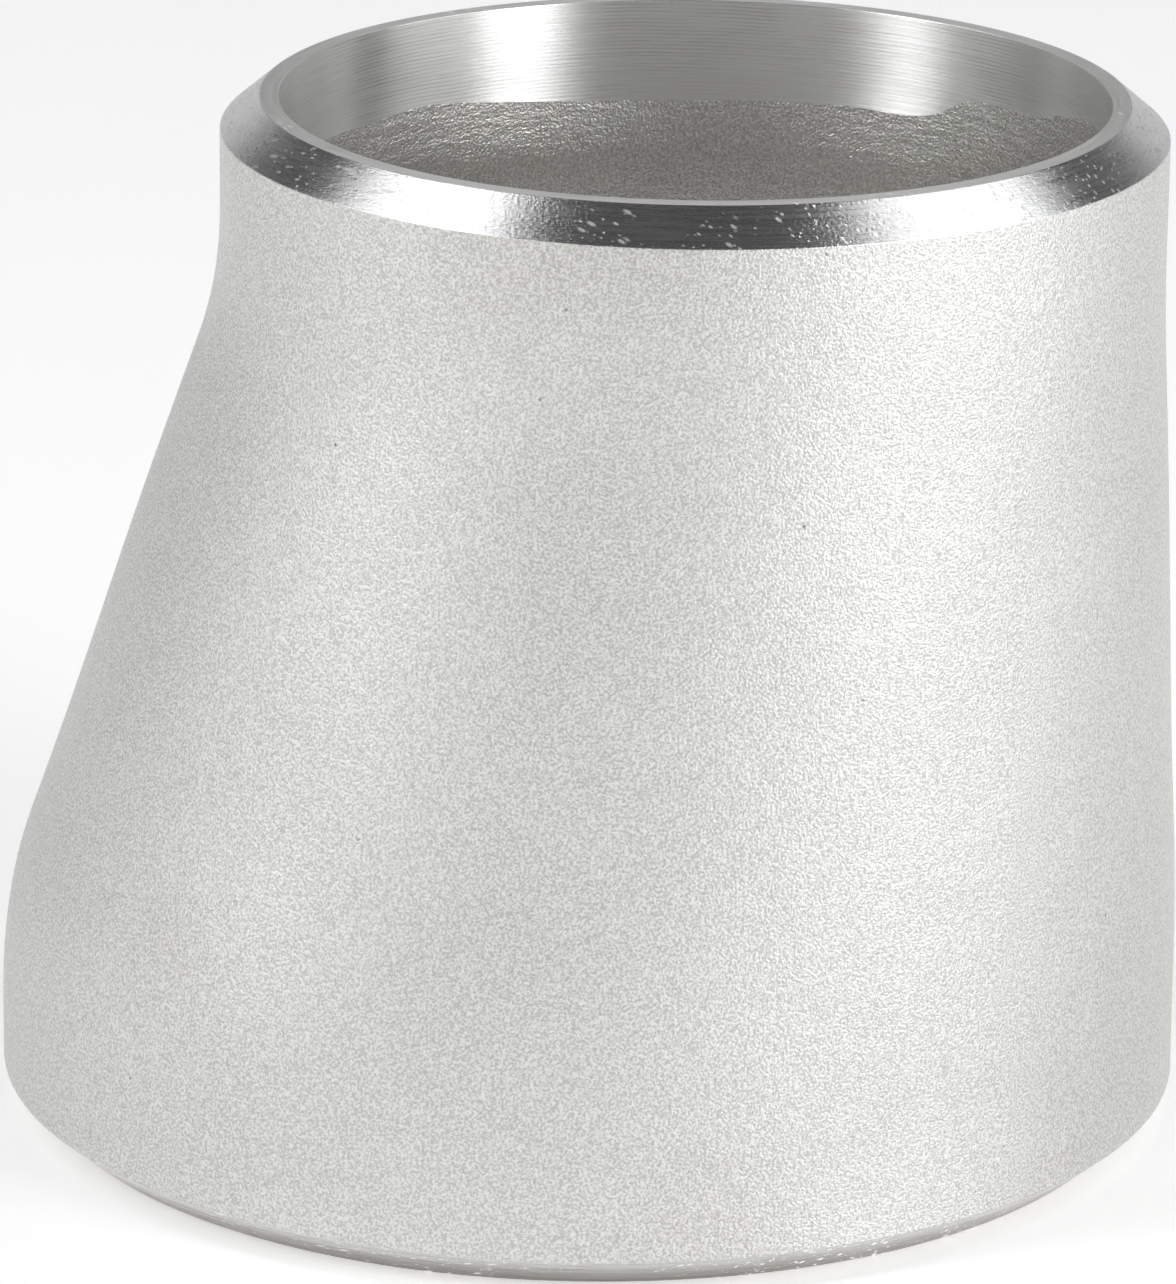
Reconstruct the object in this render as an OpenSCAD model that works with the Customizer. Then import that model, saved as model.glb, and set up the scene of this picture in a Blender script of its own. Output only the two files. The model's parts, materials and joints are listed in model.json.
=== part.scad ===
// Eccentric butt-weld reducer: one seamless formed and machined pipe fitting that joins
// two pipe sizes with one side kept straight.
// Frame: the origin is the centre of the large weld face, +Z runs to the small end, and
// the straight side faces +X. Every level cut through the wall is a pair of rings.

/* [Overall] */
// Outside diameter of the large end
large_od = 114.3; // [100:0.1:142]
// Outside diameter of the small end
small_od = 88.9; // [60.3:0.1:107]
// Length from weld face to weld face
body_length = 101.6; // [76:0.1:160]

/* [Wall] */
// Wall thickness at the large weld end
large_wall = 6.02; // [3.5:0.01:10]
// Wall thickness at the small weld end
small_wall = 5.49; // [3.5:0.01:10]
// Extra wall that the forming leaves inside, which the two bores cut away
bore_stock = 0.5; // [0.4:0.05:1]

/* [Side profile] */
// Straight length at the large end, weld bevel included
large_straight = 10.5; // [8:0.5:25]
// Straight length at the small end, weld bevel included
small_straight = 10.5; // [8:0.5:25]
// Radius of the outward bend where the sloped side leaves the large end
large_blend = 45; // [5:1:90]
// Radius of the inward bend where the sloped side meets the small end
small_blend = 38; // [5:1:90]

/* [Weld preparation] */
// Slope of the weld bevel, from the plane of the weld face
bevel_angle = 40; // [30:0.5:42]
// Width of the flat root face left inside the bevel
root_face = 1.8; // [0.8:0.1:2.4]

/* [Machined bores] */
// Length of straight formed wall left between the large bore and the outward bend
large_bore_gap = 1; // [0.5:0.5:4]
// Length of straight formed wall left between the small bore and the inward bend
small_bore_gap = 1; // [0.5:0.5:4]

/* [Hidden] */
$fn = 96;

steel_color = [0.76, 0.76, 0.74];

// Each bend is cut into this many slices.
bend_slices = 5;
// The bores are cut this far past the weld faces.
cut_past = 2;

large_r = large_od / 2;
small_r = small_od / 2;

// Radial width and axial height of each weld bevel.
large_bevel_w = large_wall - root_face;
small_bevel_w = small_wall - root_face;
large_bevel_h = large_bevel_w * tan(bevel_angle);
small_bevel_h = small_bevel_w * tan(bevel_angle);

// Depth of each machined bore.
large_bore_depth = large_straight - large_bore_gap;
small_bore_depth = small_straight - small_bore_gap;

// Between the straight ends the sloped side drops by the whole difference of diameters.
drop = large_od - small_od;
run = body_length - large_straight - small_straight;

// On a short or steep reducer the two bends would meet, so both shrink together to fit.
most_blend = 0.9 * (run * run + drop * drop) / (2 * drop);
blend_share = min(1, most_blend / (large_blend + small_blend));
bend_a = large_blend * blend_share;
bend_b = small_blend * blend_share;
bend_sum = bend_a + bend_b;

// Length of the straight slope between the bends, and its angle from the axis.
slope_length = sqrt(run * run + drop * drop - 2 * bend_sum * drop);
slope_angle = atan2(run, bend_sum - drop) - atan2(slope_length, bend_sum);

// Heights where the straight ends stop, and where the slope between the bends lies.
z_start = large_straight;
z_end = body_length - small_straight;
z_slope_start = z_start + bend_a * sin(slope_angle);
z_slope_end = z_end - bend_b * sin(slope_angle);

// How far the sloped side has come in at height z.
function drop_at(z) =
    z <= z_start ? 0
    : z < z_slope_start ? bend_a - sqrt(pow(bend_a, 2) - pow(z - z_start, 2))
    : z <= z_slope_end ? bend_a * (1 - cos(slope_angle))
        + (z - z_slope_start) * tan(slope_angle)
    : z < z_end ? drop - bend_b + sqrt(pow(bend_b, 2) - pow(z_end - z, 2))
    : drop;

// Half of the drop narrows the ring and the other half moves its centre toward +X,
// which keeps the +X side straight.
function centre_at(z) = drop_at(z) / 2;
function outer_r_at(z) = large_r - drop_at(z) / 2;

// The formed wall thins evenly from one straight end to the other.
function thinning_at(z) = min(1, max(0, (z - z_start) / (z_end - z_start)));
function wall_at(z) = bore_stock + large_wall + (small_wall - large_wall) * thinning_at(z);

// Heights of the slices: both bends in equal turns, with the straight slope between them.
turns = [for (i = [0 : bend_slices]) slope_angle * i / bend_slices];
slice_z = [
    for (t = turns) z_start + bend_a * sin(t),
    for (i = [0 : bend_slices]) z_end - bend_b * sin(turns[bend_slices - i])
];

// A ring is [height, centre, radius]. Both skins are stacks of rings.
outer_rings = [
    [0, 0, large_r - large_bevel_w],
    [large_bevel_h, 0, large_r],
    for (z = slice_z) [z, centre_at(z), outer_r_at(z)],
    [body_length - small_bevel_h, drop / 2, small_r],
    [body_length, drop / 2, small_r - small_bevel_w]
];
inner_rings = [
    [0, 0, large_r - wall_at(0)],
    for (z = slice_z) [z, centre_at(z), outer_r_at(z) - wall_at(z)],
    [body_length, drop / 2, small_r - wall_at(body_length)]
];

function ring_points(ring) = [
    for (i = [0 : $fn - 1])
        [ring[1] + ring[2] * cos(360 * i / $fn), ring[2] * sin(360 * i / $fn), ring[0]]
];

// Four-sided faces between neighbouring rings, seen from outside the stack.
function skin_faces(ring_count, first) = [
    for (s = [0 : ring_count - 2], i = [0 : $fn - 1])
        let (a = first + s * $fn + i, b = first + s * $fn + (i + 1) % $fn)
            [a, a + $fn, b + $fn, b]
];

// A flat ring between the outer skin's ring and the inner skin's ring at one weld face.
function face_ring(outer_first, inner_first) = [
    for (i = [0 : $fn - 1])
        let (j = (i + 1) % $fn)
            [outer_first + i, outer_first + j, inner_first + j, inner_first + i]
];

function turned_over(faces) = [for (f = faces) [f[3], f[2], f[1], f[0]]];

// The formed tube, before its ends are bored.
module formed_tube() {
    outer_count = len(outer_rings);
    inner_count = len(inner_rings);
    inner_first = outer_count * $fn;
    polyhedron(
        points = [
            for (ring = outer_rings) each ring_points(ring),
            for (ring = inner_rings) each ring_points(ring)
        ],
        faces = concat(
            skin_faces(outer_count, 0),
            turned_over(skin_faces(inner_count, inner_first)),
            face_ring(0, inner_first),
            turned_over(face_ring((outer_count - 1) * $fn,
                inner_first + (inner_count - 1) * $fn))
        ),
        convexity = 4
    );
}

module end_bore(bore_r, bore_depth) {
    translate([0, 0, -cut_past])
        cylinder(h = cut_past + bore_depth, r = bore_r);
}

module reducer_body() {
    color(steel_color)
        difference() {
            formed_tube();
            end_bore(large_r - large_wall, large_bore_depth);
            translate([drop / 2, 0, body_length])
                mirror([0, 0, 1])
                    end_bore(small_r - small_wall, small_bore_depth);
        }
}

reducer_body();
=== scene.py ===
# %% [markdown]
# # An eccentric butt-weld reducer
# This fitting joins a large pipe to a smaller one and keeps one side straight, so that the
# pipe drains or vents along that side. It is one piece of seamless stainless pipe, pressed
# to shape, blasted with fine beads, and then turned on a lathe at both ends. The lesson
# rebuilds it as one closed wall with five finishes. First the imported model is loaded,
# because every size and place comes from it.

import json
import math

import bpy
from mathutils import Matrix, Vector


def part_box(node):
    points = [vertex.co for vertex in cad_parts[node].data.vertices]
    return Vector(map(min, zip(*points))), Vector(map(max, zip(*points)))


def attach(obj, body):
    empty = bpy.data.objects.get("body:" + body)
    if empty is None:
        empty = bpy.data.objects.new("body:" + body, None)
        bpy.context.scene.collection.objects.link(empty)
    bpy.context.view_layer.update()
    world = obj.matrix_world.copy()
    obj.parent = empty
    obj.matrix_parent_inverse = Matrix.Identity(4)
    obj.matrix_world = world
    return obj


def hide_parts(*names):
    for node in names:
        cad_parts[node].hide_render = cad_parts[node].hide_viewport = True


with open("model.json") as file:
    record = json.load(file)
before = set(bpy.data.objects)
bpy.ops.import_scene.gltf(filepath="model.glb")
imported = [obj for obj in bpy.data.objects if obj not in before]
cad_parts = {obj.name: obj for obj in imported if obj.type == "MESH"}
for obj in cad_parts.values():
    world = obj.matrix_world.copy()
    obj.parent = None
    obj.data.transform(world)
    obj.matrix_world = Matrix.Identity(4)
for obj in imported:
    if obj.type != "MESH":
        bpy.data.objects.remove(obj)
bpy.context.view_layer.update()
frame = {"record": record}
mounts = {m["name"]: m for m in frame["record"]["mounts"]}
print("mounts:", sorted(mounts))

# %% [markdown]
# ## Sizes
# The straight side is the key to the shape: at every height the wall is a ring that touches
# the same upright line. So the small end's centre is off to one side by exactly the
# difference of the two radii. The frame gives the ends, the bores and the height. The frame
# doesn't hold the bevel's angle or the form between the ends: a straight length at each end
# and two arcs, joined by a slope that touches both.

# %% Read the sizes from the frame
MM = 0.001

low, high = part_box("reducer_body")
height = high.z
large_r = high.x
offset = mounts["small_bore"]["pos_m"][0]
small_r = large_r - offset
large_bore_r = mounts["large_bore"]["dims"]["r_mm"] * MM
small_bore_r = mounts["small_bore"]["dims"]["r_mm"] * MM
root_face = 2 * (mounts["small_weld_face"]["pos_m"][0] - offset - small_bore_r)

bevel_angle = math.radians(40)
straight_end = 10.5 * MM
outward_bend = 45 * MM
inward_bend = 38 * MM
bore_stock = 0.5 * MM

large_bevel_w = large_r - large_bore_r - root_face
small_bevel_w = small_r - small_bore_r - root_face
large_bevel_h = large_bevel_w * math.tan(bevel_angle)
small_bevel_h = small_bevel_w * math.tan(bevel_angle)

drop = 2 * (large_r - small_r)
run = height - 2 * straight_end
bend_sum = outward_bend + inward_bend
slope_length = math.sqrt(run**2 + drop**2 - 2 * bend_sum * drop)
slope = math.atan2(run, bend_sum - drop) - math.atan2(slope_length, bend_sum)
z_start = straight_end
z_end = height - straight_end
z_slope_start = z_start + outward_bend * math.sin(slope)
z_slope_end = z_end - inward_bend * math.sin(slope)


def drop_at(z):
    """How far the sloped side has come in at height z."""
    if z <= z_start:
        return 0.0
    if z < z_slope_start:
        return outward_bend - math.sqrt(outward_bend**2 - (z - z_start) ** 2)
    if z <= z_slope_end:
        return outward_bend * (1 - math.cos(slope)) + (z - z_slope_start) * math.tan(slope)
    if z < z_end:
        return drop - inward_bend + math.sqrt(inward_bend**2 - (z_end - z) ** 2)
    return drop


def ring_at(z, wall=0.0):
    """A level ring: (height, centre, radius), moved in from the outside by wall metres."""
    half = drop_at(z) / 2
    return (z, half, large_r - half - wall)


def formed_wall_at(z):
    """The formed wall's thickness, which the bores' stock is still part of."""
    share = min(1.0, max(0.0, (z - z_start) / (z_end - z_start)))
    large_wall = large_r - large_bore_r
    small_wall = small_r - small_bore_r
    return bore_stock + large_wall + (small_wall - large_wall) * share


print("slope", round(math.degrees(slope), 2), "degrees")
print("centre offset", round(offset / MM, 2), "mm")

# %% [markdown]
# ## The wall
# The real wall is one tube. A lathe-like spin would give a straight cone, not this lopsided
# one. Here a single circle is extruded ring by ring, as by hand: each new ring is moved up
# and sideways, then scaled about its own centre. The stack goes down the outside and back
# up the inside, and the last ring is bridged to the first, so the wall is closed.

# %% Helpers for ring stacks
SEGMENTS = 288
RING_STEP = 2.2 * MM
BEND_RINGS = 9
HAIR = 0.02 * MM


def deselect_all():
    if bpy.context.mode != "OBJECT":
        bpy.ops.object.mode_set(mode="OBJECT")
    bpy.ops.object.select_all(action="DESELECT")


def stack_rings(name, rings):
    """Extrudes one circle through all the rings and bridges the last to the first."""
    deselect_all()
    z, centre, radius = rings[0]
    bpy.ops.mesh.primitive_circle_add(vertices=SEGMENTS, radius=radius)
    piece = bpy.context.active_object
    piece.name = name
    bpy.ops.object.mode_set(mode="EDIT")
    bpy.ops.transform.translate(value=(centre, 0, z))
    for next_z, next_centre, next_radius in rings[1:]:
        step = (next_centre - centre, 0, next_z - z)
        bpy.ops.mesh.extrude_region_move(TRANSFORM_OT_translate={"value": step})
        if next_radius != radius:
            grow = next_radius / radius
            middle = (next_centre, 0, next_z)
            bpy.ops.transform.resize(value=(grow, grow, 1), center_override=middle)
        z, centre, radius = next_z, next_centre, next_radius
    bpy.ops.mesh.select_all(action="DESELECT")
    bpy.ops.mesh.select_non_manifold()
    bpy.ops.mesh.bridge_edge_loops()
    bpy.ops.mesh.select_all(action="SELECT")
    bpy.ops.mesh.normals_make_consistent(inside=False)
    bpy.ops.object.mode_set(mode="OBJECT")
    return piece


def heights_between(a, b):
    """Even heights between a and b, no further apart than RING_STEP, without either end."""
    count = max(1, math.ceil(abs(b - a) / RING_STEP))
    return [a + (b - a) * i / count for i in range(1, count)]


def formed_heights(start, end):
    """Heights along the formed wall from start to end, closer together in the bends."""
    turns = [slope * i / BEND_RINGS for i in range(BEND_RINGS + 1)]
    lower = [z_start + outward_bend * math.sin(t) for t in turns]
    upper = [z_end - inward_bend * math.sin(t) for t in reversed(turns)]
    stops = [start, *[z for z in lower + upper if start + HAIR < z < end - HAIR], end]
    heights = []
    for a, b in zip(stops, stops[1:]):
        heights += [a, *heights_between(a, b)]
    return [*heights, end]


print(SEGMENTS, "points to a ring, and rings at most", RING_STEP / MM, "mm apart")

# %% [markdown]
# ## One stack for the whole wall
# The outside goes down from the small end's root face: bevel, formed skin, bevel. The
# inside goes back up: bore, formed inside, bore. Each bore starts as deep as it ever gets,
# and a gentle run-out below it brings the wall from the machined size to the formed one,
# because a boring bar leaves no step where the wall is only just thick enough to touch.

# %% Stack the rings of the wall
RUNOUT = 4 * MM
DEEPEST_CUT = 10.3 * MM


def turned_cone(z_from, r_from, z_to, r_to, centre, steps=3):
    """Rings of a weld bevel, from one edge to the other, both included."""
    return [
        (z_from + (z_to - z_from) * i / steps, centre, r_from + (r_to - r_from) * i / steps)
        for i in range(steps + 1)
    ]


def bored(z_face, z_foot, centre, radius, steps=4):
    """Rings of a machined bore, from its mouth to its foot."""
    return [(z_face + (z_foot - z_face) * i / steps, centre, radius) for i in range(steps + 1)]


skin = formed_heights(large_bevel_h, height - small_bevel_h)[1:-1]
cavity = formed_heights(DEEPEST_CUT + RUNOUT, height - DEEPEST_CUT - RUNOUT)
outside = [
    *turned_cone(height, small_r - small_bevel_w, height - small_bevel_h, small_r, offset),
    *[ring_at(z) for z in reversed(skin)],
    *turned_cone(large_bevel_h, large_r, 0.0, large_r - large_bevel_w, 0.0),
]
inside = [
    *bored(0.0, DEEPEST_CUT, 0.0, large_bore_r),
    *[ring_at(z, formed_wall_at(z)) for z in cavity],
    *reversed(bored(height, height - DEEPEST_CUT, offset, small_bore_r)),
]
wall = stack_rings("reducer_wall", outside + inside)
print(len(outside), "rings outside,", len(inside), "inside,", len(wall.data.polygons), "faces")

# %% [markdown]
# ## Where the lathe stopped
# The inside of the pressed pipe isn't quite round, so the boring bar leaves the wall at a
# different depth all the way round, and the edge of the bright band wanders. A level edge
# would look moulded. Painted weights say how far each column of points rises, and a
# Displace modifier with no texture moves them: by its strength, times the weight. The
# tables give the depth of the cut in millimetres at angles round from the straight side.

# %% Tables of the cuts, and helpers for weights
SMALL_CUT = [
    (0, 6.4), (30, 4.6), (58, 4.6), (70, 5.7), (79, 6.9), (91, 7.2), (97.5, 9.3), (104, 9.85),
    (111, 9.7), (122, 9.9), (138, 10.1), (152, 9.9), (163, 9.4), (170, 8.9), (177, 8.55),
    (188, 9.0), (200, 9.05), (212, 9.6), (250, 9.8), (300, 8.4), (330, 7.4), (360, 6.4),
]
LARGE_CUT = [
    (0, 8.9), (50, 9.6), (110, 9.2), (160, 7.9), (200, 8.2), (260, 9.7), (310, 9.9), (360, 8.9),
]
MOST_RISE = 6 * MM


def depth_at(turn, table):
    """The cut's depth at an angle in degrees, on a smooth curve through the table's points."""
    angles = [a for a, _ in table]
    i = max(k for k, a in enumerate(angles[:-1]) if a <= turn)
    last = len(table) - 1
    before = (table[last - 1][0] - 360, table[last - 1][1]) if i == 0 else table[i - 1]
    after = (table[1][0] + 360, table[1][1]) if i == last - 1 else table[i + 2]
    (a, depth_a), (b, depth_b) = table[i], table[i + 1]
    rate_a = (depth_b - before[1]) / (b - before[0])
    rate_b = (after[1] - depth_a) / (after[0] - a)
    t = (turn - a) / (b - a)
    bulge = (rate_a * (1 - t) - rate_b * t) * (b - a) - (depth_b - depth_a) * (1 - 2 * t)
    return (depth_a + (depth_b - depth_a) * t + t * (1 - t) * bulge) * MM


def weigh(piece, name, weight_of):
    """A vertex group with the weight that weight_of gives each point."""
    group = piece.vertex_groups.new(name=name)
    for vertex in piece.data.vertices:
        weight = weight_of(vertex.co)
        if weight > 0:
            group.add([vertex.index], weight, "REPLACE")
    return name


def displace(piece, group, direction, strength, texture=None):
    """Moves a group's points by an applied Displace modifier."""
    modifier = piece.modifiers.new(group, "DISPLACE")
    modifier.direction = direction
    modifier.strength = strength
    modifier.mid_level = 0.5 if texture else 0.0
    modifier.texture = texture
    modifier.vertex_group = group
    deselect_all()
    bpy.context.view_layer.objects.active = piece
    bpy.ops.object.modifier_apply(modifier=modifier.name)
    piece.vertex_groups.remove(piece.vertex_groups[group])


def rise_of(place, from_face, centre, bore_r, table):
    """The share of MOST_RISE by which a point of a bore or its run-out moves to the face."""
    radius = math.hypot(place.x - centre, place.y)
    if radius > bore_r + HAIR or from_face > DEEPEST_CUT + RUNOUT + HAIR:
        return 0.0
    turn = math.degrees(math.atan2(place.y, place.x - centre)) % 360
    rise = (DEEPEST_CUT - depth_at(turn, table)) / MOST_RISE
    return rise * min(1.0, from_face / DEEPEST_CUT)


for label, table in (("small", SMALL_CUT), ("large", LARGE_CUT)):
    print(label, "cut:", [round(depth_at(a, table) / MM, 1) for a in range(0, 360, 45)], "mm")

# %% [markdown]
# ## Move the edges
# Both ends are cut in the same way, but not alike. At the small end the points rise toward
# the face, and at the large end they sink toward it, so the strength is negative there.

# %% Let the machined edges wander
small_edge = weigh(
    wall,
    "small_bore_edge",
    lambda place: rise_of(place, height - place.z, offset, small_bore_r, SMALL_CUT),
)
displace(wall, small_edge, "Z", MOST_RISE)
large_edge = weigh(
    wall, "large_bore_edge", lambda place: rise_of(place, place.z, 0.0, large_bore_r, LARGE_CUT)
)
displace(wall, large_edge, "Z", -MOST_RISE)
print("height still", round(wall.dimensions.z / MM, 2), "mm")

# %% [markdown]
# ## Waves that the press leaves
# A pressed skin is never a perfect cone: in a low light it shows slow waves about a tenth of
# a millimetre high. A cloud texture on a Displace modifier gives them. The weights fade out
# toward the bevels, which were turned true afterwards.

# %% Press waves in the skin
WAVE_SIZE = 34 * MM
WAVE_HEIGHT = 0.45 * MM
FADE = 9 * MM

waves = bpy.data.textures.new("press_waves", "CLOUDS")
waves.noise_scale = WAVE_SIZE
waves.noise_depth = 1


def skin_weight(place):
    """One on the formed skin, and fading to nothing at both bevels."""
    half = drop_at(min(max(place.z, 0.0), height)) / 2
    if math.hypot(place.x - half, place.y) < large_r - half - HAIR:
        return 0.0
    from_bevel = min(place.z - large_bevel_h, height - small_bevel_h - place.z)
    return min(1.0, max(0.0, from_bevel / FADE))


displace(wall, weigh(wall, "skin", skin_weight), "NORMAL", WAVE_HEIGHT, waves)
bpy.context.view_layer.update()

# %% [markdown]
# ## Five finishes on one wall
# The fitting is one metal with five surfaces: the blasted skin, the turned bevels, the flat
# root faces, the bored bands, and the blasted inside. Separate objects would leave seams
# that the real wall doesn't have. So the faces are chosen by where they lie and which way
# they look, and each choice is given its own material slot.

# %% Sort the faces into their finishes
FINISHES = ["blasted_skin", "turned_bevel", "faced_root", "bored_band", "blasted_inside"]
for finish in FINISHES:
    material = bpy.data.materials.new(finish)
    material.use_nodes = True
    wall.data.materials.append(material)


def on_bore(face, centre, bore_r):
    """Whether all of a face's corners stand at a bore's radius."""
    corners = [wall.data.vertices[i].co for i in face.vertices]
    return all(abs(math.hypot(c.x - centre, c.y) - bore_r) < HAIR for c in corners)


def finish_of(face):
    """The index in FINISHES of the surface that a face belongs to."""
    x, y, z = face.center
    top_end = z > height / 2
    centre, bore_r = (offset, small_bore_r) if top_end else (0.0, large_bore_r)
    from_face = height - z if top_end else z
    if from_face < HAIR:
        return FINISHES.index("faced_root")
    half = drop_at(min(max(z, 0.0), height)) / 2
    if face.normal.x * (x - half) + face.normal.y * y > 0:
        bevel_h = small_bevel_h if top_end else large_bevel_h
        return FINISHES.index("turned_bevel" if from_face < bevel_h else "blasted_skin")
    bored_here = from_face < DEEPEST_CUT and on_bore(face, centre, bore_r)
    return FINISHES.index("bored_band" if bored_here else "blasted_inside")


deselect_all()
bpy.context.view_layer.objects.active = wall
wall.select_set(True)
bpy.ops.object.mode_set(mode="EDIT")
bpy.ops.mesh.select_mode(type="FACE")
bpy.ops.object.mode_set(mode="OBJECT")
for index, finish in enumerate(FINISHES):
    for face in wall.data.polygons:
        face.select = finish_of(face) == index
    count = sum(face.select for face in wall.data.polygons)
    wall.active_material_index = index
    bpy.ops.object.mode_set(mode="EDIT")
    bpy.ops.object.material_slot_assign()
    bpy.ops.object.mode_set(mode="OBJECT")
    print(finish, count, "faces")

# %% [markdown]
# ## Edges
# A turned edge is crisp but never perfectly sharp: the tool and a file leave a break of
# about a tenth of a millimetre, and it is this sliver that catches the light. A Bevel
# modifier limited by angle finds those edges by itself, because every other edge on the
# wall is nearly flat. Hardened normals keep the shading of the broad faces undisturbed
# right up to the break.

# %% Break the edges
EDGE_BREAK = 0.11 * MM
SHARP = math.radians(22)
bpy.ops.object.shade_smooth()
bevel = wall.modifiers.new("edge_break", "BEVEL")
bevel.width = EDGE_BREAK
bevel.segments = 2
bevel.limit_method = "ANGLE"
bevel.angle_limit = SHARP
bevel.harden_normals = True
bpy.ops.object.modifier_apply(modifier=bevel.name)
print("faces with broken edges:", len(wall.data.polygons))

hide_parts("reducer_body")
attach(wall, "root")

# %% [markdown]
# ## Shader helpers
# Every finish starts from the same few steps: a place on the object, a noise or a wave read
# at that place, and some arithmetic. Small helpers keep the node trees short to write.
# Object coordinates are used everywhere, so the patterns stay on the metal in every view.

# %% Helpers for node trees


def add_node(tree, kind, **settings):
    """A node with its settings, and its inputs by name: numbers are set and sockets linked."""
    node = tree.nodes.new(kind)
    inputs = settings.pop("inputs", {})
    for key, value in settings.items():
        setattr(node, key, value)
    for key, value in inputs.items():
        if isinstance(value, bpy.types.NodeSocket):
            tree.links.new(value, node.inputs[key])
        else:
            node.inputs[key].default_value = value
    return node


def sum_up(tree, operation, a, b=0.0, c=0.0):
    """One Math node: the output of operation on numbers or sockets."""
    node = add_node(tree, "ShaderNodeMath", operation=operation, inputs={0: a, 1: b, 2: c})
    return node.outputs[0]


def spread(tree, value, low_in, high_in, low_out=0.0, high_out=1.0):
    """A value stretched from one range to another and kept inside it, with soft ends."""
    node = add_node(
        tree,
        "ShaderNodeMapRange",
        interpolation_type="SMOOTHSTEP",
        inputs={0: value, 1: low_in, 2: high_in, 3: low_out, 4: high_out},
    )
    return node.outputs[0]


def noise(tree, place, size, detail=2.0, roughness=0.5, stretch=(1, 1, 1)):
    """Noise with features about size metres across, stretched by its mapping's scale."""
    mapping = add_node(tree, "ShaderNodeMapping", inputs={"Vector": place, "Scale": stretch})
    node = add_node(
        tree,
        "ShaderNodeTexNoise",
        inputs={
            "Vector": mapping.outputs[0],
            "Scale": 1 / size,
            "Detail": detail,
            "Roughness": roughness,
        },
    )
    return node.outputs["Fac"]


def mix_colour(tree, share, a, b):
    """One colour blended into another by a share."""
    node = add_node(tree, "ShaderNodeMix", data_type="RGBA", inputs={"Factor": share})
    for socket, value in ((node.inputs[6], a), (node.inputs[7], b)):
        if isinstance(value, bpy.types.NodeSocket):
            tree.links.new(value, socket)
        else:
            socket.default_value = value
    return node.outputs[2]


def new_group(name, inputs, outputs):
    """An empty node group with float or vector inputs and float outputs, and its two ends."""
    group = bpy.data.node_groups.new(name, "ShaderNodeTree")
    for label, kind, default in inputs:
        socket = group.interface.new_socket(label, in_out="INPUT", socket_type=kind)
        if kind == "NodeSocketFloat":
            socket.default_value = default
    for label in outputs:
        group.interface.new_socket(label, in_out="OUTPUT", socket_type="NodeSocketFloat")
    start = group.nodes.new("NodeGroupInput")
    end = group.nodes.new("NodeGroupOutput")
    return group, start, end


def use_group(tree, group, **inputs):
    """A group placed in a tree, with its inputs by name."""
    return add_node(tree, "ShaderNodeGroup", node_tree=group, inputs=inputs)


print("node helpers: add_node, sum_up, spread, noise, mix_colour, new_group, use_group")

# %% [markdown]
# ## The bead-blasted surface
# Fine beads leave shallow dents about a quarter of a millimetre across, on top of the slower
# orange peel of the pressed pipe. A displacement at that scale would need millions of faces,
# so the dents are a height for a Bump node. Three sizes are summed, because one size alone
# looks like printed noise. The finest size is put out as a mask too, for painted shade in the
# bottom of a dent, where less light falls, and a painted highlight on its top, and a few
# deeper pits are the middles of scattered cells.

# %% Group: blast dents
FINE_DENT = 0.24 * MM
COARSE_DENT = 1.2 * MM
PEEL_SIZE = 4.5 * MM
PIT_SPACING = 3.1 * MM
COARSE_SHARE = 0.3
PIT_DEPTH = -0.7

blast, start, end = new_group(
    "blast_dents",
    [("Place", "NodeSocketVector", None), ("Peel", "NodeSocketFloat", 0.5)],
    ["Height", "Painted_shading", "Pits"],
)
place = start.outputs["Place"]
fine = noise(blast, place, FINE_DENT, detail=1.0)
coarse = noise(blast, place, COARSE_DENT, detail=0.0)
peel = noise(blast, place, PEEL_SIZE, detail=1.0)
cells = add_node(
    blast, "ShaderNodeTexVoronoi", inputs={"Vector": place, "Scale": 1 / PIT_SPACING}
)
pit = spread(blast, cells.outputs["Distance"], 0.03, 0.075, 1.0, 0.0)
rare = spread(blast, noise(blast, place, 5 * MM, detail=0.0), 0.64, 0.70)
pits = sum_up(blast, "MULTIPLY", pit, rare)
dent_sum = sum_up(blast, "MULTIPLY_ADD", coarse, COARSE_SHARE, fine)
with_peel = sum_up(blast, "MULTIPLY_ADD", peel, start.outputs["Peel"], dent_sum)
relief = sum_up(blast, "MULTIPLY_ADD", pits, PIT_DEPTH, with_peel)
blast.links.new(relief, end.inputs["Height"])
# The second output masks the finest dents for painted shade in their bottoms and a painted
# highlight on their tops.
blast.links.new(spread(blast, fine, 0.30, 0.70), end.inputs["Painted_shading"])
blast.links.new(pits, end.inputs["Pits"])
print("group:", blast.name)

# %% [markdown]
# ## Tool marks
# A lathe tool leaves a fine screw thread, and the marks run all round the end. Along them
# nothing changes for centimetres; across them everything changes within a tenth of a
# millimetre. So the noise is squeezed along the axis and stretched around it. The feed wave
# follows a distance that each finish gives: the height in a bore and on a bevel, or the
# distance from the axis on a flat face.

# %% Group: tool marks
STREAK_WIDTH = 0.11 * MM
STREAK_DRIFT = 9.0

marks, start, end = new_group(
    "tool_marks",
    [
        ("Place", "NodeSocketVector", None),
        ("Across", "NodeSocketFloat", 0.0),
        ("Feed", "NodeSocketFloat", 0.0003),
        ("Wander", "NodeSocketFloat", 1.0),
    ],
    ["Height", "Streaks", "Furrows"],
)
place = start.outputs["Place"]
wander = noise(marks, place, 14 * MM, detail=2.0)
phase = sum_up(marks, "DIVIDE", start.outputs["Across"], start.outputs["Feed"])
phase = sum_up(marks, "MULTIPLY_ADD", wander, start.outputs["Wander"], phase)
wave = sum_up(marks, "PINGPONG", phase, 0.5)
around = add_node(
    marks,
    "ShaderNodeCombineXYZ",
    inputs={
        "X": sum_up(marks, "MULTIPLY", start.outputs["Across"], 1 / STREAK_WIDTH),
        "Y": noise(marks, place, 22 * MM, detail=1.0),
        "Z": noise(marks, place, 31 * MM, detail=1.0),
    },
)
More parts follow.
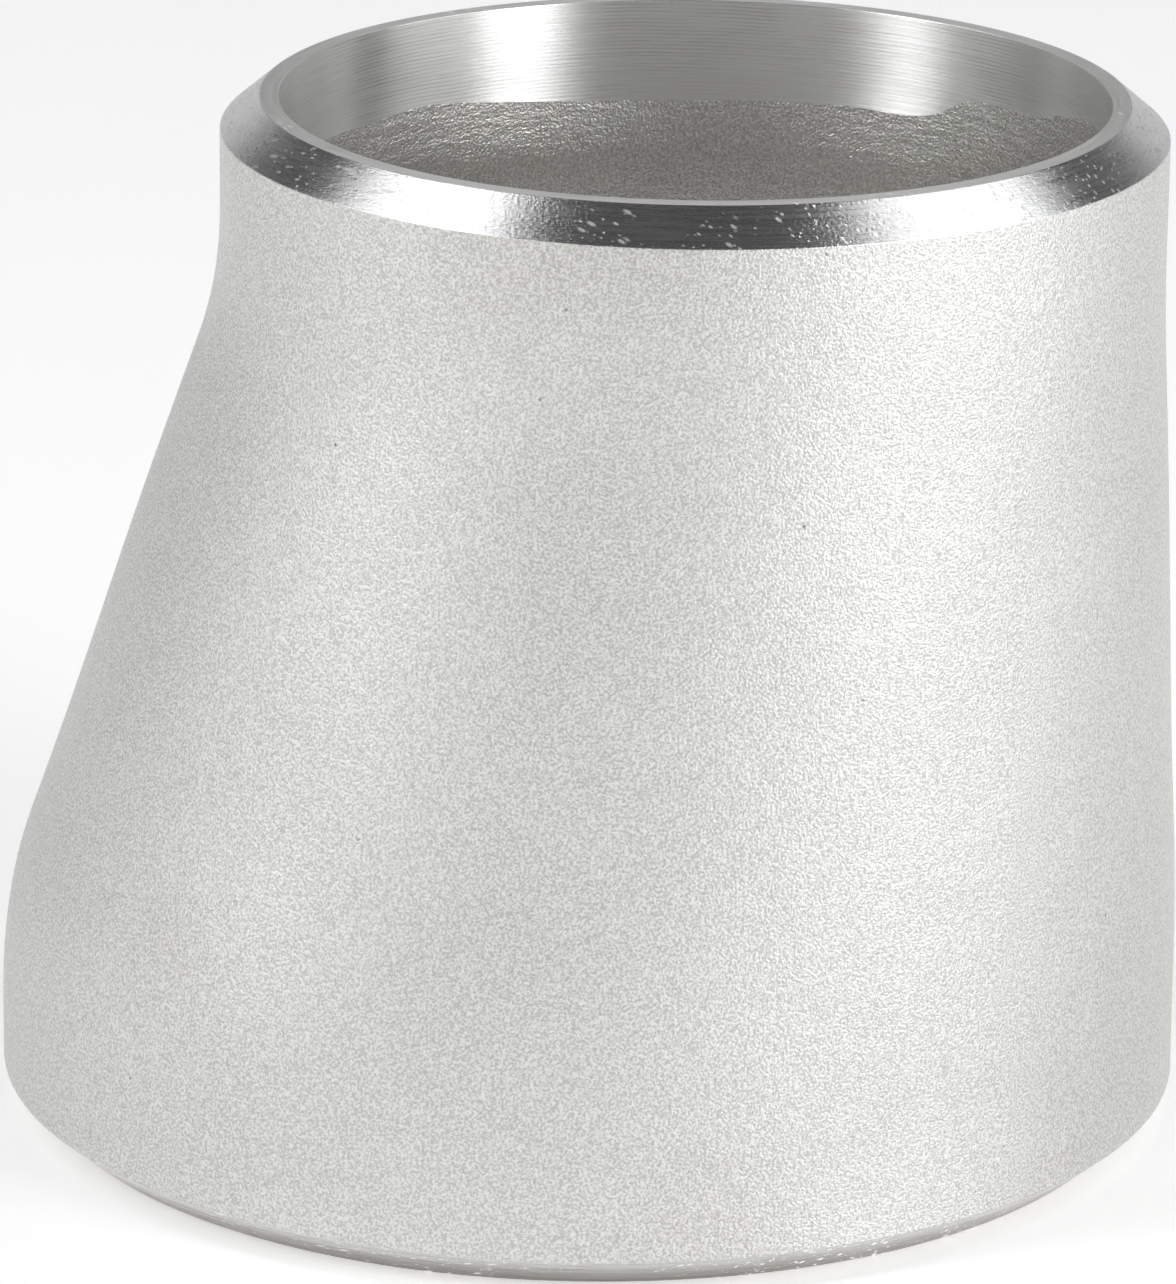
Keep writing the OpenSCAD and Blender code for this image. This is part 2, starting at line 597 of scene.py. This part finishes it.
spread_out = add_node(
    marks,
    "ShaderNodeVectorMath",
    operation="MULTIPLY",
    inputs={0: around.outputs[0], 1: (1.0, STREAK_DRIFT, STREAK_DRIFT)},
)
streak_noise = add_node(
    marks,
    "ShaderNodeTexNoise",
    inputs={"Vector": spread_out.outputs[0], "Scale": 1.0, "Detail": 3.0, "Roughness": 0.65},
)
streaks = streak_noise.outputs["Fac"]
marks.links.new(streaks, end.inputs["Streaks"])
deeper = spread(marks, noise(marks, place, 10 * MM, detail=1.0), 0.38, 0.64, 0.1, 1.0)
furrow = spread(marks, sum_up(marks, "MULTIPLY_ADD", streaks, 0.5, wave), 0.28, 0.46, 1.0, 0.0)
marks.links.new(sum_up(marks, "MULTIPLY", furrow, deeper), end.inputs["Furrows"])
marks.links.new(sum_up(marks, "MULTIPLY_ADD", wave, 0.6, streaks), end.inputs["Height"])
print("group:", marks.name)

# %% [markdown]
# ## Handling marks
# Steel fittings are tipped into boxes, so the bright bevels carry nicks and short scratches
# in loose clusters. Stretched cells give short strokes, and a slow noise decides where the
# clusters are. The list gives each kind of nick its turn, size and stretch. The same group
# is used weakly on the skin.

# %% Group: handling marks
NICKS = [(0.5, 0.9 * MM, 0.35), (-0.9, 0.7 * MM, 0.7), (2.2, 1.3 * MM, 0.2)]

knocks, start, end = new_group(
    "handling_marks",
    [("Place", "NodeSocketVector", None), ("Amount", "NodeSocketFloat", 0.5)],
    ["Nicks"],
)
place = start.outputs["Place"]
nicks = 0.0
for turn, size, stretch in NICKS:
    mapping = add_node(
        knocks,
        "ShaderNodeMapping",
        inputs={"Vector": place, "Rotation": (0.4 * turn, 0, turn), "Scale": (stretch, 1, 1)},
    )
    cells = add_node(
        knocks, "ShaderNodeTexVoronoi", inputs={"Vector": mapping.outputs[0], "Scale": 1 / size}
    )
    stroke = spread(knocks, cells.outputs["Distance"], 0.07, 0.20, 1.0, 0.0)
    nicks = sum_up(knocks, "MAXIMUM", stroke, nicks)
cluster = noise(knocks, place, 9 * MM, detail=1.0)
reach = sum_up(knocks, "MULTIPLY", start.outputs["Amount"], 0.3)
edge = sum_up(knocks, "SUBTRACT", 0.75, reach)
where = spread(knocks, cluster, edge, sum_up(knocks, "ADD", edge, 0.06))
knocks.links.new(sum_up(knocks, "MULTIPLY", nicks, where), end.inputs["Nicks"])
print("group:", knocks.name)

# %% [markdown]
# ## Smudges
# Blasted steel takes up oil from hands and packing as faint warm patches with soft, ragged
# edges. Each smudge is a ball of space around a point on the skin, its edge frayed by noise.

# %% Group: smudge
smudge, start, end = new_group(
    "smudge",
    [
        ("Place", "NodeSocketVector", None),
        ("Centre", "NodeSocketVector", None),
        ("Reach", "NodeSocketFloat", 0.01),
    ],
    ["Mask"],
)
place = start.outputs["Place"]
span = add_node(
    smudge,
    "ShaderNodeVectorMath",
    operation="DISTANCE",
    inputs={0: place, 1: start.outputs["Centre"]},
)
fray = sum_up(smudge, "MULTIPLY_ADD", noise(smudge, place, 9 * MM, detail=4.0), 1.4, -0.7)
share = sum_up(smudge, "DIVIDE", span.outputs["Value"], start.outputs["Reach"])
frayed = sum_up(smudge, "ADD", share, fray)
smudge.links.new(spread(smudge, frayed, 0.15, 1.25, 1.0, 0.0), end.inputs["Mask"])
print("group:", smudge.name)

# %% [markdown]
# ## Helpers for the materials
# A smudge needs a point on the real skin, so it is named by its angle and height, and the
# ring at that height gives the rest. Every finish is the same steel, so each one starts as
# fully metallic and ends in a Bump node.

# %% Helpers for materials


def direction_at(azimuth, elevation):
    """A unit vector from the part, by azimuth from +X and elevation, in radians."""
    level = math.cos(elevation)
    return Vector(
        (level * math.cos(azimuth), level * math.sin(azimuth), math.sin(elevation))
    )


def object_place(tree):
    return add_node(tree, "ShaderNodeTexCoord").outputs["Object"]


def skin_point(angle, z):
    """The point on the skin at an angle in degrees from the straight side and a height."""
    _, centre, radius = ring_at(z)
    turn = math.radians(angle)
    return (centre + radius * math.cos(turn), radius * math.sin(turn), z)


def fresh_tree(name):
    """A material's empty tree with a metallic shader wired to its output."""
    tree = bpy.data.materials[name].node_tree
    shader = tree.nodes["Principled BSDF"]
    shader.inputs["Metallic"].default_value = 1.0
    return tree, shader


def bump(tree, shader, relief, depth):
    """Tilts the surface by a relief that is depth metres high at one."""
    node = add_node(tree, "ShaderNodeBump", inputs={"Height": relief, "Distance": depth})
    tree.links.new(node.outputs[0], shader.inputs["Normal"])


print("a point on the skin:", [round(c / MM, 1) for c in skin_point(-90, height / 2)], "mm")

# %% [markdown]
# ## The blasted skin
# Blasting turns bright steel into an even, silky grey that spreads light widely but is still
# metal. So it is fully metallic with a high roughness, and the dents do the rest: a little
# as relief, and a little as painted shade in their bottoms and a painted highlight on their
# tops, with painted shade in the pits too. Slow patches vary the colour, and smudges warm it.
# Each smudge has an angle, a height and a reach.

# %% Material: blasted skin

STEEL = (0.675, 0.670, 0.655, 1)
STEEL_DULL = (0.645, 0.640, 0.625, 1)
# The next two colours are painted shade for the bottoms of the dents and a painted highlight
# for their tops.
DENT_SHADE = (0.21, 0.207, 0.20, 1)
DENT_HIGHLIGHT = (0.95, 0.95, 0.94, 1)
PAINTED_SHADING_SHARE = 0.34
SMUDGE_SHARE = 0.7
SKIN_RELIEF = 0.085 * MM
SKIN_NICK_DEPTH = -0.6
# The next colour is painted shade for the pits.
PIT_SHADE = (0.30, 0.29, 0.27, 1)
OIL = (0.60, 0.588, 0.562, 1)
SMUDGES = [
    (-67, 98 * MM, 9 * MM),
    (-52, 98.5 * MM, 10 * MM),
    (-90, 27 * MM, 9 * MM),
    (-34, 6 * MM, 12 * MM),
    (10, 5 * MM, 14 * MM),
    (120, 60 * MM, 18 * MM),
    (200, 20 * MM, 14 * MM),
]

tree, shader = fresh_tree("blasted_skin")
place = object_place(tree)
dents = use_group(tree, blast, Place=place, Peel=0.9)
knock = use_group(tree, knocks, Place=place, Amount=0.25)
patches = spread(tree, noise(tree, place, 30 * MM, detail=4.0, roughness=0.6), 0.35, 0.7)
colour = mix_colour(tree, patches, STEEL, STEEL_DULL)
for angle, z, reach in SMUDGES:
    mark = use_group(tree, smudge, Place=place, Centre=skin_point(angle, z), Reach=reach)
    stain = sum_up(tree, "MULTIPLY", mark.outputs["Mask"], SMUDGE_SHARE)
    colour = mix_colour(tree, stain, colour, OIL)
# Painted shade in the bottoms of the dents and a painted highlight on their tops, by a fixed
# share, then painted shade in the pits.
painted_dent_shading = mix_colour(tree, dents.outputs["Painted_shading"], DENT_SHADE, DENT_HIGHLIGHT)
colour = mix_colour(tree, PAINTED_SHADING_SHARE, colour, painted_dent_shading)
colour = mix_colour(tree, dents.outputs["Pits"], colour, PIT_SHADE)
tree.links.new(colour, shader.inputs["Base Color"])
gloss = sum_up(tree, "MULTIPLY_ADD", patches, 0.03, 0.47)
tree.links.new(gloss, shader.inputs["Roughness"])
relief = sum_up(
    tree, "MULTIPLY_ADD", knock.outputs["Nicks"], SKIN_NICK_DEPTH, dents.outputs["Height"]
)
bump(tree, shader, relief, SKIN_RELIEF)
print("blasted_skin:", len(tree.nodes), "nodes,", len(SMUDGES), "smudges")

# %% [markdown]
# ## The turned finishes
# Light on a turned surface spreads across the tool marks and not along them, which draws
# bright and dark bars from edge to edge. Anisotropy does this with no visible grooves. Its
# direction comes from the Tangent input: here a line around the end's own axis, worked out
# from the place, because the small end's axis isn't the object's.

# %% Helpers for turned metal
ACROSS_THE_MARKS = 0.25
SPECK_SIZE = 0.34 * MM
NICK_DEPTH = -4.0
NICK_ROUGHNESS = 0.45
# The foot is the band at the bottom of the large end where painted shade darkens the turned
# metal toward the floor; its top edge is frayed by the streaks.
FOOT_LOW = -1.5 * MM
FOOT_HIGH = 4.5 * MM
FOOT_FRAY = -2.2 * MM


def around_axis(tree, place):
    """The way around the nearer end's axis, the distance from that axis, and the height."""
    split = add_node(tree, "ShaderNodeSeparateXYZ", inputs={0: place})
    at_top = sum_up(tree, "GREATER_THAN", split.outputs["Z"], height / 2)
    axis_x = sum_up(tree, "MULTIPLY", at_top, offset)
    x = sum_up(tree, "SUBTRACT", split.outputs["X"], axis_x)
    y = split.outputs["Y"]
    backwards = sum_up(tree, "MULTIPLY", y, -1.0)
    direction = add_node(tree, "ShaderNodeCombineXYZ", inputs={"X": backwards, "Y": x})
    square = sum_up(tree, "MULTIPLY_ADD", x, x, sum_up(tree, "MULTIPLY", y, y))
    return direction.outputs[0], sum_up(tree, "SQRT", square), split.outputs["Z"]


def turned_metal(
    name, across, feed, wander, depth, colours, gloss, spread_light, nick_amount, speckle, foot_shade,
    furrow_shade,
):
    """A finish with tool marks: across is "height" or "radius", gloss is two roughnesses."""
    tree, shader = fresh_tree(name)
    place = object_place(tree)
    direction, radius, z = around_axis(tree, place)
    tree.links.new(direction, shader.inputs["Tangent"])
    shader.inputs["Anisotropic"].default_value = spread_light
    shader.inputs["Anisotropic Rotation"].default_value = ACROSS_THE_MARKS
    distance = z if across == "height" else radius
    groove = use_group(tree, marks, Place=place, Across=distance, Feed=feed, Wander=wander)
    knock = use_group(tree, knocks, Place=place, Amount=nick_amount)
    streaks = spread(tree, groove.outputs["Streaks"], 0.3, 0.7)
    colour = mix_colour(tree, streaks, *colours)
    # Painted shade in the furrows of the thread, by a share that each finish gives.
    furrows = sum_up(tree, "MULTIPLY", groove.outputs["Furrows"], furrow_shade)
    colour = mix_colour(tree, furrows, colour, FURROW_SHADE)
    # Painted shade: the turned metal darkens toward the floor at the large end, by a share that
    # each finish gives, with a ragged top edge.
    ragged = sum_up(tree, "MULTIPLY_ADD", streaks, FOOT_FRAY, z)
    foot = spread(tree, ragged, FOOT_LOW, FOOT_HIGH, foot_shade, 0.0)
    colour = mix_colour(tree, foot, colour, PAINTED_FOOT_SHADE)
    colour = mix_colour(tree, knock.outputs["Nicks"], colour, NICK)
    tree.links.new(colour, shader.inputs["Base Color"])
    low_gloss, high_gloss = gloss
    rough = sum_up(tree, "MULTIPLY_ADD", streaks, high_gloss - low_gloss, low_gloss)
    rough = sum_up(tree, "MULTIPLY_ADD", knock.outputs["Nicks"], NICK_ROUGHNESS, rough)
    tree.links.new(rough, shader.inputs["Roughness"])
    specks = noise(tree, place, SPECK_SIZE, detail=2.0, roughness=0.7)
    relief = sum_up(tree, "MULTIPLY_ADD", specks, speckle, groove.outputs["Height"])
    relief = sum_up(tree, "MULTIPLY_ADD", knock.outputs["Nicks"], NICK_DEPTH, relief)
    bump(tree, shader, relief, depth)
    print(name + ":", len(tree.nodes), "nodes")


print("highlights turned by", ACROSS_THE_MARKS, "of a circle")

# %% [markdown]
# ## Bevel, root face and bore
# The three machined faces are cut with different tools. The bevel is turned with a fine feed
# and stays the brightest. The root face is only faced off and is satin. The bore is cut with
# a coarse feed, so it shows a thread, with painted shade in its furrows. The bevel and the
# root face get painted shade toward the floor at the large end. One function makes all three,
# because only the numbers differ.

# %% Materials: bevel, root face and bore
BRIGHT = (0.88, 0.885, 0.89, 1)
SHADED = (0.78, 0.785, 0.79, 1)
SATIN = (0.96, 0.96, 0.95, 1)
SATIN_DARK = (0.86, 0.86, 0.85, 1)
WARM = (0.80, 0.793, 0.78, 1)
# The next colour is painted shade for the furrows of the thread.
FURROW_SHADE = (0.34, 0.335, 0.33, 1)
NICK = (0.95, 0.95, 0.94, 1)
# The next colour is painted shade for the large end's foot, near the floor.
PAINTED_FOOT_SHADE = (0.30, 0.285, 0.265, 1)
turned_metal(
    "turned_bevel", "height", 0.16 * MM, 2.0, 0.004 * MM, (SHADED, BRIGHT), (0.25, 0.31), 0.92,
    nick_amount=1.2, speckle=8.0, foot_shade=1.0, furrow_shade=0.12,
)
turned_metal(
    "faced_root", "radius", 0.12 * MM, 1.0, 0.003 * MM, (SATIN_DARK, SATIN), (0.60, 0.70), 0.3,
    nick_amount=0.6, speckle=4.0, foot_shade=0.6, furrow_shade=0.1,
)
turned_metal(
    "bored_band", "height", 0.37 * MM, 1.6, 0.013 * MM, (WARM, BRIGHT), (0.30, 0.36), 0.98,
    nick_amount=0.0, speckle=0.2, foot_shade=0.0, furrow_shade=0.45,
)

# %% [markdown]
# ## The blasted inside
# The beads reach the inside too, but the press's mandrel left ripples across it first, and
# the metal stays darker and warmer because less of the blast gets there. It shares the
# dents with the skin, and the ripples are a noise squeezed along the height.

# %% Material: blasted inside
INSIDE = (0.70, 0.69, 0.665, 1)
INSIDE_DULL = (0.62, 0.61, 0.585, 1)
# The next two colours are painted shade for the bottoms of the dents and a painted highlight
# for their tops.
INSIDE_DENT_SHADE = (0.20, 0.195, 0.18, 1)
INSIDE_DENT_HIGHLIGHT = (0.95, 0.94, 0.92, 1)
INSIDE_RELIEF = 0.08 * MM
RIPPLE_SIZE = 3.4 * MM
RIPPLE_SHARE = 0.9

tree, shader = fresh_tree("blasted_inside")
place = object_place(tree)
dents = use_group(tree, blast, Place=place, Peel=0.2)
ripple = noise(tree, place, RIPPLE_SIZE, detail=2.0, stretch=(1, 1, 5))
patches = spread(tree, noise(tree, place, 16 * MM, detail=3.0), 0.35, 0.7)
colour = mix_colour(tree, patches, INSIDE, INSIDE_DULL)
# Painted shade in the bottoms of the dents and a painted highlight on their tops, by the same
# share as on the skin.
painted_dent_shading = mix_colour(tree, dents.outputs["Painted_shading"], INSIDE_DENT_SHADE, INSIDE_DENT_HIGHLIGHT)
colour = mix_colour(tree, PAINTED_SHADING_SHARE, colour, painted_dent_shading)
tree.links.new(colour, shader.inputs["Base Color"])
gloss = sum_up(tree, "MULTIPLY_ADD", patches, 0.08, 0.38)
tree.links.new(gloss, shader.inputs["Roughness"])
relief = sum_up(tree, "MULTIPLY_ADD", ripple, RIPPLE_SHARE, dents.outputs["Height"])
bump(tree, shader, relief, INSIDE_RELIEF)
print("blasted_inside:", len(tree.nodes), "nodes")

# %% [markdown]
# ## The floor
# The part stands on a plain pale floor, so that its outline reads clearly and its foot has a
# contact shadow. A sheet of paper under a studio light is nearly white all over. The floor
# gives off a little light of its own, which does the same without a light under it.

# %% Floor
FLOOR_SIZE = 12
FLOOR_GLOW = 0.38
PAPER = (0.93, 0.93, 0.93, 1)
PAPER_LIGHT = (0.95, 0.95, 0.95, 1)

deselect_all()
bpy.ops.mesh.primitive_plane_add(size=FLOOR_SIZE)
floor = bpy.context.active_object
floor.name = "floor"
floor_material = bpy.data.materials.new("pale_floor")
floor_material.use_nodes = True
tree = floor_material.node_tree
shader = tree.nodes["Principled BSDF"]
shader.inputs["Roughness"].default_value = 0.85
shader.inputs["Specular IOR Level"].default_value = 0.2
paper = noise(tree, object_place(tree), 40 * MM, detail=3.0)
tree.links.new(mix_colour(tree, paper, PAPER, PAPER_LIGHT), shader.inputs["Base Color"])
shader.inputs["Emission Color"].default_value = (1, 1, 1, 1)
shader.inputs["Emission Strength"].default_value = FLOOR_GLOW
floor.data.materials.append(floor_material)
print("floor:", FLOOR_SIZE, "metres square")

# %% [markdown]
# ## The camera
# A fitting is usually shown from a little above, so that the end, the bevel and the bore can
# be seen together with the side. A long lens from further off keeps the straight side
# straight. The camera stands on a circle around the part and turns towards a point beside
# the middle, so that angles and distances can be changed one at a time.

# %% Camera
VIEW_AZIMUTH = math.radians(-45.26)
VIEW_ELEVATION = math.radians(17.3)
VIEW_DISTANCE = 0.77514
VIEW_ROLL = math.radians(0.71)
LENS = 246.0
AIM_RIGHT = 0.48 * MM
AIM_UP = 5.56 * MM

middle = Vector((0, 0, height / 2))
toward = direction_at(VIEW_AZIMUTH, VIEW_ELEVATION)
eye = middle + toward * VIEW_DISTANCE
level_toward = direction_at(VIEW_AZIMUTH, 0)
level_right = Vector((-math.sin(VIEW_AZIMUTH), math.cos(VIEW_AZIMUTH), 0))
level_up = toward.cross(level_right)
right = level_right * math.cos(VIEW_ROLL) + level_up * math.sin(VIEW_ROLL)
up = level_up * math.cos(VIEW_ROLL) - level_right * math.sin(VIEW_ROLL)
aim = middle - right * AIM_RIGHT - up * AIM_UP
back = (eye - aim).normalized()
side = up.cross(back).normalized()
deselect_all()
bpy.ops.object.camera_add(location=eye)
camera = bpy.context.active_object
turn = Matrix((side, back.cross(side), back)).transposed()
camera.matrix_world = Matrix.Translation(eye) @ turn.to_4x4()
camera.data.sensor_fit = "HORIZONTAL"
camera.data.sensor_width = 36
camera.data.lens = LENS
bpy.context.scene.camera = camera
bpy.context.scene.view_settings.view_transform = "Standard"
print("camera at", [round(c, 4) for c in eye])

# %% [markdown]
# ## The room
# Steel shows little but what stands around it, so the room matters as much as the lamps. Its
# walls are pale low down and its ceiling is dim, which keeps the bars between the highlights
# of the bevel dark. The room is a plain grey that changes with the direction only.

# %% Room
ROOM_DARK = 0.06
ROOM_FRONT = 0.50
ROOM_BACK = 0.10
ROOM_HORIZON = 0.42
world = bpy.data.worlds.new("studio")
bpy.context.scene.world = world
world.use_nodes = True
tree = world.node_tree
way = add_node(tree, "ShaderNodeTexCoord").outputs["Generated"]
rise = add_node(tree, "ShaderNodeSeparateXYZ", inputs={0: way}).outputs["Z"]
ahead = add_node(
    tree, "ShaderNodeVectorMath", operation="DOT_PRODUCT", inputs={0: way, 1: level_toward}
)
wall_glow = spread(tree, ahead.outputs["Value"], -0.6, 0.8, ROOM_BACK, ROOM_FRONT)
low_part = spread(tree, rise, 0.14, 0.52, 1.0, 0.0)
horizon = spread(tree, rise, 0.17, 0.36, ROOM_HORIZON + ROOM_DARK, ROOM_DARK)
glow = sum_up(tree, "MULTIPLY_ADD", wall_glow, low_part, horizon)
tree.links.new(glow, tree.nodes["Background"].inputs["Strength"])
tree.nodes["Background"].inputs["Color"].default_value = (1, 1, 1, 1)
print("room:", ROOM_DARK, "overhead,", ROOM_FRONT, "in front,", ROOM_BACK, "behind")
# %% [markdown]
# ## The soft boxes
# A wide wall of light on each side gives the skin its even glow. A narrower box near each
# wall, and one higher up behind the part, draw the bright bars on the bevel and in the
# bore. Large lamps are used because small ones would show as hard spots on steel.

# %% Soft boxes
LAMP_DISTANCE = 1.5


def soft_box(name, turn, elevation, size, power):
    """An area light aimed at the part. turn is degrees to the right of the camera."""
    way = direction_at(VIEW_AZIMUTH + math.radians(turn), math.radians(elevation))
    bpy.ops.object.light_add(type="AREA", location=middle + way * LAMP_DISTANCE)
    light = bpy.context.active_object
    light.name = name
    light.rotation_euler = way.to_track_quat("Z", "Y").to_euler()
    light.data.shape = "RECTANGLE"
    light.data.size, light.data.size_y = size
    light.data.energy = power
    light.visible_camera = False
    print(name, power, "W")


soft_box("wall_right", 66, 16, (1.7, 1.0), 8.2)
soft_box("key_right", 52, 22, (0.55, 1.0), 6.6)
soft_box("bar_right", 109, 53, (0.34, 0.85), 3.0)
soft_box("wall_left", -76, 20, (1.5, 1.0), 1.4)
soft_box("key_left", -66, 32, (0.45, 0.8), 6.6)
soft_box("bar_left", -106, 53, (0.34, 0.85), 3.1)
